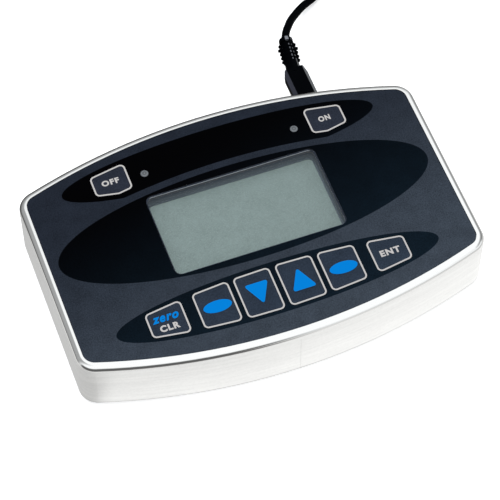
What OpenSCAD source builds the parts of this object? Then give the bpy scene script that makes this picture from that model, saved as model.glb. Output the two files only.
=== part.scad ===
// Portable torque data analyzer: a shallow metal case with bowed long sides, a membrane front and one lead.
// The origin is at the middle of the footprint, on the surface that the feet stand on.
// +X points to the right of the front, +Y to its back edge and +Z up out of it. All sizes are millimetres.

/* [Case] */
// Width of the case, side to side
case_w = 168.4; // [160:0.2:190]
// Depth of the case at its middle, front to back
case_d = 111.8; // [108:0.2:125]
// Height of the case's wall, from its lower edge to the top of the rim
case_h = 26; // [25:0.5:32]
// Radius of the bowed front and back walls
bow_r = 252.1; // [230:1:400]
// Radius of the case's four upright corners
corner_r = 8.2; // [7:0.2:11]
// Thickness of the case's walls
wall_t = 2.2; // [1.6:0.1:2.6]
// Thickness of the plate under the front
plate_t = 2.0; // [1.5:0.1:2.5]
// Radius of the polished rounding along the rim
rim_round = 2.4; // [0.8:0.1:2.6]
// Radius of the wall's lower edge
foot_edge = 0.5; // [0.2:0.1:0.8]
// Distance from the case's outside to the edge of the front film
rim_w = 3.2; // [3:0.1:4]
// Depth of the film's face below the top of the rim
film_recess = 0.2; // [0.2:0.1:1]
// Width of the joint line down the middle of the front wall
seam_w = 0.25; // [0.1:0.05:0.5]
// Depth of that joint line
seam_d = 0.15; // [0.05:0.05:0.4]

/* [Front film] */
// Thickness of the front film and of the keys in it
film_t = 0.5; // [0.4:0.1:0.8]
// Thickness of the spacer sheet under the film
spacer_t = 1.0; // [0.9:0.1:1.4]
// Thickness of the keypad's circuit sheet
circuit_t = 0.4; // [0.2:0.1:0.6]
// Gap between the film and the case round it
film_gap = 0.15; // [0.1:0.05:0.3]
// Depth of the black printed fields in the film
print_t = 0.12; // [0.08:0.02:0.2]
// Half width of the middle black field
mid_field_a = 77.5; // [60:0.5:78]
// Half depth of the middle black field
mid_field_b = 22.95; // [21:0.05:24]
// Half width of the back and front black fields
end_field_a = 66.5; // [62:0.5:72]
// Half depth of the back and front black fields
end_field_b = 11.65; // [11.5:0.05:12]
// Distance from the film's back edge to the middle of the back field
back_field_in = 16.35; // [16:0.05:17]
// Distance from the film's front edge to the middle of the front field
front_field_in = 20.1; // [19.5:0.05:21]
// Distance from the film's back edge to the back field's near edge
back_field_edge_in = 21.55; // [20.5:0.05:22.5]
// Radius of the back field's near edge
back_field_r = 263.5; // [200:0.5:320]

/* [Display] */
// Width of the display window
window_w = 72; // [60:1:74]
// Depth of the display window, front to back
window_d = 39.2; // [34:0.1:40]
// Distance from the film's middle to the middle of the window
window_y = 5.25; // [4.5:0.05:6]
// Corner radius of the window
window_r = 3; // [1:0.5:4]
// Width of the ledge that the window pane rests on
window_ledge = 0.5; // [0.3:0.1:0.8]
// Thickness of the gasket that lines the window
gasket_t = 0.9; // [0.6:0.1:1.2]
// Depth of the display glass below the film's face
glass_depth = 6; // [5.4:0.1:6.5]
// Thickness of the display glass
glass_t = 2.2; // [1.4:0.1:2.4]
// Thickness of the sheet metal of the display frame
frame_t = 0.6; // [0.4:0.1:0.8]
// Distance from the window to the display board's side edges
board_side = 10.5; // [10.2:0.1:11.5]
// Distance from the window to the display board's front edge
board_front = 14.4; // [8:0.1:16]
// Distance from the lamps to the display board's back edge
board_back = 3.25; // [2:0.05:4]
// Thickness of all circuit boards
board_t = 1.6; // [1.2:0.2:2]
// Height of the display module from its board to the top of its frame
module_h = 7.9; // [7.5:0.1:8.3]

/* [Keys] */
// Width of each key
key_w = 15.2; // [14:0.1:16]
// Corner radius of each key
key_r = 2; // [1:0.1:3]
// Gap between a key and the film round it
key_gap = 0.12; // [0.1:0.02:0.25]
// Width of the raised outline along each key's edge
outline_w = 0.65; // [0.4:0.05:1]
// Height of the raised outline and signs on the keys
outline_h = 0.12; // [0.05:0.01:0.2]
// Distance from the middle to the centre of the inner keys
inner_key_x = 8.7; // [8.5:0.1:9]
// Distance from the middle to the centre of the oval keys
oval_key_x = 26; // [25.5:0.1:27]
// Distance from the middle to the centre of the outer keys
outer_key_x = 46; // [44:0.1:48]
// Distance from the film's front edge to the far edge of the front row, at its middle
row_top_in = 29.95; // [29:0.05:31]
// Radius that the far edges of the front row follow
row_top_r = 335; // [300:1:400]
// Distance from the film's front edge to the near edge of the front row, at its middle
row_low_in = 10; // [9:0.1:11]
// Radius that the near edges of the front row follow
row_low_r = 312; // [290:1:400]
// Radius of a snap dome
dome_r = 5; // [4:0.25:6]
// Height of a snap dome
dome_h = 0.85; // [0.6:0.05:0.85]
// Thickness of a snap dome's sheet
dome_t = 0.15; // [0.1:0.05:0.25]

/* [Lamps] */
// Radius of a lamp's lens
lamp_r = 1.6; // [1.2:0.1:2]
// Distance from the middle to a lamp, sideways
lamp_x = 32; // [28:0.5:34]
// Distance from the middle of the window to a lamp, towards the back
lamp_back = 30.75; // [30:0.05:32]
// Height of a lamp's crown above the film
lamp_crown = 0.3; // [0.1:0.1:0.6]
// Gap between a lamp and the sheets round it
lamp_gap = 0.12; // [0.05:0.01:0.25]

/* [Bottom] */
// Height of the case's lower edge above the table
stand_h = 2; // [1.5:0.1:4]
// Thickness of the bottom cover
cover_t = 1.8; // [1.4:0.1:2.2]
// Depth of the cover's face above the case's lower edge
cover_recess = 0.6; // [0.2:0.1:0.8]
// Gap between the cover and the wall round it
cover_gap = 0.3; // [0.15:0.05:0.5]
// Radius of a screw boss
boss_r = 4; // [3.5:0.1:4.5]
// Radius of the shank of a cover screw
screw_r = 1.5; // [1.3:0.1:1.6]
// Radius of the head of a cover screw
screw_head_r = 2.9; // [2.6:0.1:3.1]
// Length of a cover screw
screw_l = 9; // [7:0.5:12]
// Radius of a rubber foot
foot_r = 6; // [4.5:0.25:7]
// Distance from the case's side to the middle of a foot
foot_side = 24.2; // [20:0.1:34]
// Distance from the case's front or back to the middle of a foot
foot_end = 23.9; // [22:0.1:32]

/* [Boards and battery] */
// Height of the spacers between the display board and the main board
spacer_h = 4.5; // [4.2:0.1:4.6]
// Width across flats of a board spacer
spacer_flats = 5; // [4.5:0.1:5.5]
// Radius of a board screw's shank
board_screw_r = 1.2; // [1:0.05:1.25]
// Radius of a post that carries a board
post_r = 2.6; // [2.2:0.1:2.8]
// Distance from the case's left side to the main board
main_side = 15.2; // [15:0.1:24]
// How far the main board reaches past the display board on the right
main_past = 1; // [0.5:0.1:1.5]
// Thickness of the battery pack
pack_t = 14.5; // [10.5:0.5:15]
// Length of the battery pack
pack_l = 50.5; // [40:0.5:52]
// Gap between the battery pack and the case's wall
pack_wall_gap = 3.9; // [1:0.1:8]
// Width of the keypad's flat tail
tail_w = 12; // [8:0.5:13]
// Distance from the middle to the keypad's tail, sideways
tail_x = 18; // [14:0.5:24]
// Thickness of the keypad's tail
tail_t = 0.3; // [0.2:0.05:0.35]

/* [Back sockets] */
// Height of the sockets' middle above the table
socket_z = 15.3; // [15.1:0.1:15.7]
// Distance from the middle to the data port, sideways
port_x = 46; // [45:0.1:47]
// Width of the moulded part of the lead's plug
plug_w = 10; // [9.5:0.1:11]
// Thickness of the moulded part of the lead's plug
plug_t = 6.4; // [5.6:0.1:8]
// Gap between the plug and the opening in the wall
port_gap = 0.4; // [0.2:0.1:0.7]
// Bore radius of the transducer socket
socket_bore_r = 4.5; // [4:0.1:5]
// Clear depth of the transducer socket
socket_depth = 5; // [4:0.5:6]
// Wall of the transducer socket's shell
socket_wall = 1.5; // [1.2:0.1:1.8]
// Angle from straight back to the transducer socket, about the back wall's centre
socket_angle = 10; // [8:0.5:11]

/* [Lead] */
// Diameter of the lead
lead_d = 3.4; // [3:0.1:3.6]
// Length of the plug's moulded part outside the back wall
plug_out = 20.5; // [16:0.1:24]
// Width of the bevel along the plug's long edges
plug_bevel = 1.5; // [0.6:0.1:1.8]
// Length of the ribbed strain relief
relief_l = 18.4; // [16:0.1:22]
// Radius of the strain relief's core at the plug
relief_core_r = 3.2; // [2.8:0.1:3.2]
// Number of ribs on the strain relief
relief_ribs = 5; // [3:1:7]
// Number of turns of the coiled length
coil_turns = 7.4; // [5:0.1:8]
// Radius at the middle of the coil's turns
coil_mid_r = 18; // [16:0.5:20]
// Thickness of the tie round the coil
tie_t = 0.4; // [0.3:0.1:0.6]
// Width of the tie round the coil
tie_w = 7; // [5:0.5:10]
// Length of the moulded part of the far plug
far_plug_l = 30; // [24:1:36]
// Width of the moulded part of the far plug
far_plug_w = 16; // [14:0.5:18]
// Thickness of the moulded part of the far plug
far_plug_t = 8; // [7:0.5:9]

/* [Hidden] */
KEY_NAMES = ["off_key", "on_key", "clear_key", "left_oval_key", "down_key", "up_key",
             "right_oval_key", "enter_key"];
DOME_NAMES = ["off_dome", "on_dome", "clear_dome", "left_oval_dome", "down_dome", "up_dome",
              "right_oval_dome", "enter_dome"];
$fn = 64;
eps = 0.01; // how far a cut runs past the face that it opens
bite = 0.5; // how far two shapes of one solid reach into each other
arc_steps = 8; // straight steps in a small rounding
bow_steps = 56; // straight steps in a bowed edge

// Heights above the table
rim_z = stand_h + case_h;
film_z = rim_z - film_recess;
spacer_z = film_z - film_t;
circuit_z = spacer_z - spacer_t;
plate_z = circuit_z - circuit_t;
under_plate_z = plate_z - plate_t;
cover_z = stand_h + cover_recess;
cover_top_z = cover_z + cover_t;
glass_z = film_z - glass_depth;
frame_z = glass_z + frame_t;
lcd_board_z = frame_z - module_h;
lcd_under_z = lcd_board_z - board_t;
main_z = lcd_under_z - spacer_h;
main_under_z = main_z - board_t;

// Outline of the case, as arcs: two bows, two straight sides and four corners
bow_y = case_d / 2 - bow_r;
corner_x = case_w / 2 - corner_r;
corner_y = bow_y + sqrt(pow(bow_r - corner_r, 2) - pow(corner_x, 2));
corner_angle = atan2(corner_y - bow_y, corner_x);

// How far back the inside of the back wall is, at a distance x from the middle
function wall_inside_y(x) = bow_y + sqrt(pow(bow_r - wall_t, 2) - x * x);

// Front: fields, lamps and keys, as distances from the middle
film_half_d = case_d / 2 - rim_w;
back_field_y = film_half_d - back_field_in;
front_field_y = film_half_d - front_field_in;
back_field_edge = film_half_d - back_field_edge_in;
lamp_y = window_y + lamp_back;
row_top = film_half_d - row_top_in;
row_low = film_half_d - row_low_in;

// Keys: middles of the front row from left to right, then the corners of the two back keys
front_key_x = [-outer_key_x, -oval_key_x, -inner_key_x, inner_key_x, oval_key_x, outer_key_x];
power_inner = [film_half_d - 21.6, film_half_d - 8.9]; // near and far end of the inner edge
power_outer = [film_half_d - 20.9, film_half_d - 11.5]; // near and far end of the outer edge
power_tip = [-1.5, film_half_d - 22.7]; // lowest corner; its x is from the key's middle
sign_r = [5.75, 2.6]; // half axes of the oval sign
arrow_half = 4.6; // half width of the arrow sign
arrow_round = 0.7;
pane_gap = 0.05;
hole_ease = 0.3; // how much wider the spacer's holes are than the film's
tail_y = -(row_low + 3.9);
tail_slot = [1, 1.3]; // what the slot in the plate is larger than the tail
tail_bend = 2;
tail_end_z = 1.1; // height of the tail's end above the main board
tail_grip = 1.4; // how far the tail reaches into its connector

// Screw bosses and posts
boss_out = corner_r - wall_t - boss_r + bite;
corner_boss = [corner_x + boss_out * cos(45), corner_y + boss_out * sin(45)];
middle_boss_y = case_d / 2 - wall_t - boss_r + bite;
frame_side = 5; // from the window to the outside of the display frame
post_gap = 0.4; // between the display frame and a post
lcd_post = [window_w / 2 + frame_side + post_gap + post_r, 15];
bore_ease = 0.05; // how much wider a threaded bore is than its screw
board_screw_head_r = 2.1;
board_screw_head_t = 1.2;
board_screw_grip = 3.4; // length of a board screw's shank past the board
board_screw_gap = 0.1;
stud_l = 5;
screw_room = 1; // depth of a bore past its screw's end

// Display module
frame_inner_gap = 0.3;
frame_lip = 0.6; // from the pane's ledge to the frame's opening

// Boards: half widths, and edges as distances from the middle
foot_x = case_w / 2 - foot_side;
foot_y = case_d / 2 - foot_end;
lcd_board_w = window_w + 2 * board_side;
lcd_board_low = window_y - window_d / 2 - board_front;
lcd_board_d = lamp_y + board_back - lcd_board_low;
main_left = case_w / 2 - main_side;
link_w = 6; // header between the port board and the main board
link_l = 2.5;
link_x = port_x - 2; // clear of the port board's posts
main_right = max(lcd_board_w / 2 + main_past, link_x + link_w / 2 + 0.5);
main_back = wall_inside_y(main_left) - 0.5;
main_front = main_back - 1.5;

// Chips on the main board: middle, size and height
CHIPS = [[[-10, 0], [20, 20], 1.4], [[-48, 8], [10, 16], 2], [[10, -18], [8, 12], 1.6]];

// Battery pack
pack_x = main_right + 1.6; // left face
pack_w = case_w / 2 - wall_t - pack_wall_gap - pack_x;
pack_gap = 0.3; // above the cover
pack_wire_r = 0.65;
battery_plug = [5, 8, 4];

// Data port and its board
shell_w = 6.8; // outside of the plug's metal shell
shell_h = 3;
shell_t = 0.3;
shell_gap = 0.15;
port_wall = 0.4;
port_w = shell_w + 2 * (shell_gap + port_wall);
port_h = shell_h + 2 * (shell_gap + port_wall);
port_l = 8.4;
tongue_t = 0.8;
port_board_z = socket_z - port_h / 2;
port_board_w = 19.2;
board_gap = 0.6; // between the port board and the display board
port_board_front = main_back - link_l - 0.2;
port_board_back = wall_inside_y(port_x) - 2.3;
port_front = wall_inside_y(port_x) - 0.25;
port_post_x = 7.6;
port_post_r = 2;
plug_front_y = port_front + 0.3;
plug_end_y = bow_y + sqrt(bow_r * bow_r - port_x * port_x) + plug_out;
plug_shell_l = 5.6; // how far the metal shell reaches out of the moulding

// Transducer socket, along its axis: 0 is at the back wall's outer face
socket_r = socket_bore_r + socket_wall;
socket_flange_t = 1;
socket_tail = -9;
contact_tail = socket_tail - 2.5;
socket_room = 0.3; // between the socket and the display board
socket_floor = socket_flange_t - socket_depth;
socket_seat_r = socket_bore_r - 0.3; // narrower bore that holds the insert
contact_r = 0.45;
contact_ring_r = 2.6;
nut_flats = 15;
nut_t = 2;
nut_z = -wall_t - 0.25;

// Lead: places in the plan are measured from the tip of the strain relief, heights from the table
relief_start = [port_x + 0.1, plug_end_y, socket_z];
relief_tip = relief_start + relief_l * unit([3.1, 18, -1.8]);
relief_grip = 3; // how far the cord reaches into the strain relief
function from_tip(p) = [relief_tip[0] + p[0], relief_tip[1] + p[1], p[2]];

// The lead's route along its middle: from the strain relief to the coil, then from the coil to the far plug
LEAD_ROUTE = concat([relief_tip], [for (p = [
    [1.4, 3.6, 12.9], [2.7, 6, 12.3], [4.4, 8.5, 11.4], [6.2, 11.2, 10.2], [8.4, 14, 8.8],
    [10.9, 16.7, 7.3], [13.5, 19.4, 5.8], [16.4, 22, 4.4], [19.6, 24.3, 3.2], [23.3, 26.5, 2.4],
    [27.3, 28.9, 2.1], [31.8, 31.7, 2.1], [36.9, 35.2, 2.1]]) from_tip(p)]);
TAIL_ROUTE = [for (p = [
    [24.8, 80.7, 5.5], [16.8, 80.7, 5.5], [8.8, 80.5, 5.2], [0.8, 79.6, 4.6], [-7.2, 78.8, 4.1],
    [-13.2, 78.8, 4]]) from_tip(p)];
coil_centre = from_tip([24.8, 56.3, 0]);
coil_pitch = lead_d + 0.05;
coil_half_w = coil_turns / 4 * coil_pitch + lead_d / 2;
coil_in_r = coil_mid_r - coil_half_w;
coil_out_r = coil_mid_r + coil_half_w;
coil_h = 2 * lead_d + 0.1;
tie_angle = 200;
far_plug_x = relief_tip[0] - 13.2;
far_plug_y = relief_tip[1] + 78.8;
far_shell_w = 12;
far_shell_h = 4.5;
far_shell_l = 12;
far_shell_t = 0.4;

metal = [0.86, 0.86, 0.85];
film_blue = [0.23, 0.26, 0.31];
key_blue = [0.21, 0.26, 0.33];
black = [0.05, 0.06, 0.08];
board_green = [0.1, 0.35, 0.2];

// Plane geometry
function unit(v) = v / norm(v);
function wrap(a) = a > 180 ? a - 360 : a < -180 ? a + 360 : a;
function arc(c, r, from, to, steps) =
    [for (i = [0 : steps]) let (a = from + (to - from) * i / steps) c + r * [cos(a), sin(a)]];
function ellipse(c, a, b, steps = 120) =
    [for (i = [0 : steps - 1]) let (t = 360 * i / steps) c + [a * cos(t), b * sin(t)]];
function rectangle(c, w, d) =
    [c + [-w, -d] / 2, c + [w, -d] / 2, c + [w, d] / 2, c + [-w, d] / 2];
function sagitta(x, r) = r - sqrt(r * r - x * x);

// Moves each edge of a convex outline outwards by g
function grown(pts, g) =
    let (n = len(pts))
    [for (i = [0 : n - 1])
        let (u = unit(pts[(i + n - 1) % n] - pts[i]), v = unit(pts[(i + 1) % n] - pts[i]))
        pts[i] - unit(u + v) * g / sin(acos(u * v) / 2)];

// Rounds each corner of a convex outline
function rounded(pts, r) =
    let (n = len(pts))
    [for (i = [0 : n - 1])
        let (u = unit(pts[(i + n - 1) % n] - pts[i]), v = unit(pts[(i + 1) % n] - pts[i]),
             half = acos(u * v) / 2,
             c = pts[i] + unit(u + v) * r / sin(half),
             p = pts[i] + u * r / tan(half) - c,
             q = pts[i] + v * r / tan(half) - c,
             from = atan2(p[1], p[0]),
             turn = wrap(atan2(q[1], q[0]) - from))
        each arc(c, r, from, from + turn, arc_steps)];

// The case's outline, a given distance inside its outer face
function case_outline(inset) =
    let (r = corner_r - inset, R = bow_r - inset, a = corner_angle)
    concat(arc([0, bow_y], R, a, 180 - a, bow_steps),
           arc([-corner_x, corner_y], r, 180 - a, 180, arc_steps),
           arc([-corner_x, -corner_y], r, 180, 180 + a, arc_steps),
           arc([0, -bow_y], R, 180 + a, 360 - a, bow_steps),
           arc([corner_x, -corner_y], r, 360 - a, 360, arc_steps),
           arc([corner_x, corner_y], r, 0, a, arc_steps));

// Corners of key i, counter-clockwise: 0 and 1 are the back keys, the rest the front row
function key_corners(i) =
    i == 0 ? [for (p = [4 : -1 : 0]) [-right_power_key()[p][0], right_power_key()[p][1]]]
    : i == 1 ? right_power_key()
    : front_key(front_key_x[i - 2]);
function right_power_key() =
    [[outer_key_x + power_tip[0], power_tip[1]],
     [outer_key_x + key_w / 2, power_outer[0]],
     [outer_key_x + key_w / 2, power_outer[1]],
     [outer_key_x - key_w / 2, power_inner[1]],
     [outer_key_x - key_w / 2, power_inner[0]]];
function front_key(x) =
    let (l = x - key_w / 2, r = x + key_w / 2)
    [[l, sagitta(l, row_low_r) - row_low], [r, sagitta(r, row_low_r) - row_low],
     [r, -row_top - sagitta(r, row_top_r)], [l, -row_top - sagitta(l, row_top_r)]];
function key_centre(i) =
    i < 2 ? [(2 * i - 1) * outer_key_x, (power_inner[0] + power_inner[1]) / 2]
    : let (x = front_key_x[i - 2])
      [x, (sagitta(x, row_low_r) - row_low - row_top - sagitta(x, row_top_r)) / 2];
function key_outline(i, g = 0) = rounded(grown(key_corners(i), g), key_r + g);
function window_outline(g = 0) =
    rounded(rectangle([0, window_y], window_w + 2 * g, window_d + 2 * g), window_r + g);

module plate(z, t, pts) {
    translate([0, 0, z]) linear_extrude(t) polygon(pts);
}

module at_each(points) {
    for (p = points) translate([p[0], p[1], 0]) children();
}

module four(x, y) {
    for (sx = [-1, 1], sy = [-1, 1]) translate([sx * x, sy * y, 0]) children();
}

module pin(r, low, high) {
    translate([0, 0, low]) cylinder(r = r, h = high - low);
}

// Moves a shape to a corner's centre, in a coarse step and a fine one, so that the arcs meet smoothly
module at_corner_centre() {
    coarse = round(corner_y * 10) / 10;
    translate([corner_x, coarse, 0]) translate([0, corner_y - coarse, 0]) children();
}

// Keeps what lies in one zone of the plan
module in_zone(pts) {
    intersection() {
        children();
        linear_extrude(rim_z + 1) polygon(pts);
    }
}

// Carries a wall's section round the case: x = 0 is the outer face and y is the height.
// The bow, the corner and the side each end at an edge that two zones of the plan share.
module round_the_case() {
    far = 60;
    c = [corner_x, corner_y];
    joint = c + far * [cos(corner_angle), sin(corner_angle)];
    for (back = [0, 1]) mirror([0, back, 0]) {
        in_zone([[-c[0], c[1]], c, joint, [-joint[0], joint[1]]])
            translate([0, bow_y, 0]) rotate_extrude($fn = 480) translate([bow_r, 0]) children();
        for (left = [0, 1]) mirror([left, 0, 0])
            in_zone([c, c + [far, 0], joint])
                at_corner_centre() rotate_extrude($fn = 96) translate([corner_r, 0]) children();
    }
    for (left = [0, 1]) mirror([left, 0, 0])
        in_zone([[c[0], -c[1]], [c[0] + far, -c[1]], c + [far, 0], c])
            translate([case_w / 2, 0, 0]) rotate([90, 0, 0])
                linear_extrude(case_d, center = true) children();
}

// Material outside a rounding of radius r, whose centre is at the origin
module edge_waste(r) {
    difference() {
        square(r + 1);
        circle(r);
    }
}

// Section of the wall: a plain wall below the plate, a wider frame with a rounded edge above it
module wall_section() {
    difference() {
        polygon([[-wall_t, stand_h], [0, stand_h], [0, rim_z], [film_gap - rim_w, rim_z],
                 [film_gap - rim_w, under_plate_z], [-wall_t, under_plate_z]]);
        translate([-rim_round, rim_z - rim_round]) edge_waste(rim_round);
        translate([-foot_edge, stand_h + foot_edge]) mirror([0, 1]) edge_waste(foot_edge);
    }
}

module screw_places() {
    four(corner_boss[0], corner_boss[1]) children();
    for (s = [-1, 1]) translate([0, s * middle_boss_y, 0]) children();
}

module lcd_post_places() {
    translate([0, window_y, 0]) four(lcd_post[0], lcd_post[1]) children();
}

module port_post_places() {
    for (s = [-1, 1])
        translate([port_x + s * port_post_x, (port_board_front + port_board_back) / 2, 0]) children();
}

// Places a shape at the transducer socket, its +Z pointing straight out of the back wall
module at_socket() {
    translate([0, bow_y, socket_z]) rotate(socket_angle) translate([0, bow_r, 0])
        rotate([-90, 0, 0]) children();
}

module port_block(w, h, r, front, back) {
    translate([port_x, back, socket_z]) rotate([90, 0, 0])
        linear_extrude(back - front) polygon(rounded(rectangle([0, 0], w, h), r));
}

module housing() {
    color(metal) difference() {
        union() {
            union() {
                round_the_case() wall_section();
                plate(under_plate_z, plate_t, case_outline((wall_t + rim_w) / 2));
            }
            union() {
                screw_places() pin(boss_r, cover_top_z, under_plate_z + bite);
                lcd_post_places() pin(post_r, lcd_board_z, under_plate_z + bite);
                port_post_places() pin(port_post_r, port_board_z, under_plate_z + bite);
            }
        }
        plate(under_plate_z - eps, plate_t + 2 * eps, window_outline(gasket_t));
        for (s = [-1, 1]) translate([s * lamp_x, lamp_y, 0])
            pin(lamp_r + lamp_gap, under_plate_z - eps, plate_z + eps);
        translate([tail_x, tail_y, under_plate_z - eps])
            linear_extrude(plate_t + 2 * eps) square([tail_w, tail_t] + tail_slot, center = true);
        screw_places() pin(screw_r, cover_top_z - eps, cover_z + screw_l + screw_room);
        lcd_post_places() pin(board_screw_r + bore_ease, lcd_board_z - eps, lcd_board_z + stud_l);
        port_post_places() pin(board_screw_r + bore_ease, port_board_z - eps, port_board_z + stud_l);
        port_block(plug_w + 2 * port_gap, plug_t + 2 * port_gap, plug_bevel + port_gap,
                   port_front - 3, case_d / 2 + 1);
        at_socket() pin(socket_r + 0.1, -wall_t - 3, 1);
        translate([-seam_w / 2, -case_d / 2 - 1, stand_h - 1])
            cube([seam_w, 1 + seam_d, case_h - rim_round]);
    }
}

module bottom_cover() {
    head_t = screw_head_r - screw_r;
    color(metal) difference() {
        plate(cover_z, cover_t, case_outline(wall_t + cover_gap));
        screw_places() {
            pin(screw_r + 0.2, cover_z - eps, cover_top_z + eps);
            translate([0, 0, cover_z - eps])
                cylinder(r1 = screw_head_r + 0.1, r2 = screw_r + 0.1, h = head_t);
        }
    }
}

module cover_screws() {
    head_t = screw_head_r - screw_r;
    color("silver") screw_places() difference() {
        union() {
            translate([0, 0, cover_z]) cylinder(r1 = screw_head_r, r2 = screw_r, h = head_t);
            pin(screw_r - 0.05, cover_z + head_t / 2, cover_z + screw_l);
        }
        for (a = [0, 90]) rotate(a) translate([0, 0, cover_z]) cube([3.2, 0.7, 1.6], center = true);
    }
}

module rubber_feet() {
    edge = 0.6;
    color("dimgray") four(foot_x, foot_y)
        rotate_extrude() polygon(concat([[0, 0]], arc([foot_r - edge, edge], edge, -90, 0, 6),
                                        [[foot_r, cover_z], [0, cover_z]]));
}

module lamp_holes(z, t) {
    for (s = [-1, 1]) translate([s * lamp_x, lamp_y, 0])
        pin(lamp_r + lamp_gap, z - eps, z + t + eps);
}

module key_holes(z, t, gap) {
    for (i = [0 : 7]) plate(z - eps, t + 2 * eps, key_outline(i, gap));
}

// Flat shapes of the three black fields
module field_shapes() {
    polygon(ellipse([0, window_y], mid_field_a, mid_field_b));
    polygon(ellipse([0, -front_field_y], end_field_a, end_field_b));
    difference() {
        polygon(ellipse([0, back_field_y], end_field_a, end_field_b));
        translate([0, back_field_edge - back_field_r]) circle(back_field_r, $fn = 480);
    }
}

module overlay_film() {
    color(film_blue) difference() {
        plate(spacer_z, film_t, case_outline(rim_w));
        plate(spacer_z - eps, film_t + 2 * eps, window_outline());
        key_holes(spacer_z, film_t, key_gap);
        lamp_holes(spacer_z, film_t);
        translate([0, 0, film_z - print_t]) linear_extrude(print_t + eps) field_shapes();
    }
}

module black_fields() {
    color(black) difference() {
        translate([0, 0, film_z - print_t]) linear_extrude(print_t) field_shapes();
        plate(film_z - print_t - eps, print_t + 2 * eps, window_outline());
        key_holes(film_z - print_t, print_t, key_gap);
        lamp_holes(film_z - print_t, print_t);
    }
}

module display_window() {
    color([0.8, 0.9, 0.9, 0.3]) plate(spacer_z, film_t, window_outline(-pane_gap));
}

module keypad_spacer() {
    color("dimgray") difference() {
        plate(circuit_z, spacer_t, case_outline(rim_w));
        plate(circuit_z - eps, spacer_t + 2 * eps, window_outline(-window_ledge));
        key_holes(circuit_z, spacer_t, key_gap + hole_ease);
        lamp_holes(circuit_z, spacer_t);
    }
}

module keypad_circuit() {
    half = tail_t / 2;
    bend = [tail_bend, main_z + tail_end_z + tail_bend];
    end_x = -main_front - tail_y + tail_grip;
    end_z = main_z + tail_end_z;
    color("darkorange") union() {
        difference() {
            plate(plate_z, circuit_t, case_outline(rim_w));
            plate(plate_z - eps, circuit_t + 2 * eps, window_outline(-window_ledge));
            lamp_holes(plate_z, circuit_t);
        }
        translate([tail_x - tail_w / 2, tail_y, 0]) rotate([90, 0, 90]) linear_extrude(tail_w)
            polygon(concat(
                [[-half, plate_z + circuit_t / 2]],
                arc(bend, tail_bend + half, 180, 270, arc_steps),
                [[end_x, end_z - half], [end_x, end_z + half]],
                arc(bend, tail_bend - half, 270, 180, arc_steps),
                [[half, plate_z + circuit_t / 2]]));
    }
}

// A triangle that points away from the front edge when up is 1, towards it when up is -1
function arrow(c, up) =
    let (h = up * arrow_half) rounded([c + [-h, -h], c + [h, -h], c + [0, h]], arrow_round);

// The raised sign on key i, if it has one
module key_sign(i) {
    c = key_centre(i);
    if (i == 3 || i == 6) plate(film_z - eps, outline_h + eps, ellipse(c, sign_r[0], sign_r[1], 48));
    if (i == 4 || i == 5) plate(film_z - eps, outline_h + eps, arrow(c, i == 5 ? 1 : -1));
}

module key(i) {
    color(key_blue) {
        plate(spacer_z, film_t, key_outline(i));
        difference() {
            plate(film_z - eps, outline_h + eps, key_outline(i));
            plate(film_z - 2 * eps, outline_h + 3 * eps, key_outline(i, -outline_w));
        }
        key_sign(i);
    }
}

module dome(i) {
    sphere_r = (dome_r * dome_r + dome_h * dome_h) / (2 * dome_h);
    rise = asin(dome_r / sphere_r);
    c = [0, dome_h - sphere_r];
    color("silver") translate([key_centre(i)[0], key_centre(i)[1], circuit_z])
        rotate_extrude() polygon(concat(arc(c, sphere_r, 90 - rise, 90, arc_steps),
                                        [[0, dome_h - dome_t], [dome_r * 0.5, dome_h * 0.75 - dome_t],
                                         [dome_r - dome_t * 3, 0]]));
}

// A lamp: lens with a collar under the plate, and two legs down to the display board
module lamp(side) {
    crown_r = (lamp_r * lamp_r + lamp_crown * lamp_crown) / (2 * lamp_crown);
    rise = asin(lamp_r / crown_r);
    collar_z = under_plate_z - 1;
    color([0.75, 0.75, 0.75]) translate([side * lamp_x, lamp_y, 0]) {
        rotate_extrude() polygon(concat(
            [[0, collar_z], [lamp_r + 0.3, collar_z], [lamp_r + 0.3, under_plate_z],
             [lamp_r, under_plate_z]],
            arc([0, film_z + lamp_crown - crown_r], crown_r, 90 - rise, 90, arc_steps)));
        for (s = [-0.8, 0.8]) translate([s, 0, 0]) pin(0.25, lcd_board_z, collar_z + 0.1);
    }
}

module display_gasket() {
    color([0.16, 0.18, 0.21]) difference() {
        union() {
            plate(frame_z, plate_z - frame_z, window_outline(gasket_t - 0.1));
            plate(frame_z, under_plate_z - frame_z, window_outline(gasket_t + 2));
        }
        plate(frame_z - eps, plate_z - frame_z + 2 * eps, window_outline(-window_ledge));
    }
}

module display_frame() {
    color([0.1, 0.1, 0.11]) difference() {
        plate(lcd_board_z, frame_z - lcd_board_z, window_outline(frame_side));
        plate(lcd_board_z - eps, glass_z - lcd_board_z + eps, window_outline(frame_side - frame_t));
        plate(glass_z - 1, frame_t + 2, window_outline(-window_ledge - frame_lip));
    }
}

module display_glass() {
    color([0.52, 0.57, 0.56])
        plate(glass_z - glass_t, glass_t, window_outline(frame_side - frame_t - frame_inner_gap));
}

module display_backlight() {
    color([0.85, 0.86, 0.8])
        plate(lcd_board_z, glass_z - glass_t - lcd_board_z,
              window_outline(frame_side - frame_t - frame_inner_gap));
}

module display_board() {
    color(board_green) difference() {
        translate([-lcd_board_w / 2, lcd_board_low, lcd_under_z])
            cube([lcd_board_w, lcd_board_d, board_t]);
        lcd_post_places() pin(board_screw_r + board_screw_gap, lcd_under_z - eps, lcd_board_z + eps);
        translate([port_x - port_board_w / 2 - board_gap, port_board_front - board_gap, lcd_under_z - eps])
            cube([port_board_w + 2 * board_gap, case_d, board_t + 2 * eps]);
        translate([0, bow_y, lcd_under_z - eps]) rotate(socket_angle)
            translate([-socket_r - socket_room, bow_r + contact_tail - socket_room, 0])
            cube([2 * (socket_r + socket_room), case_d, board_t + 2 * eps]);
    }
}

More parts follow.
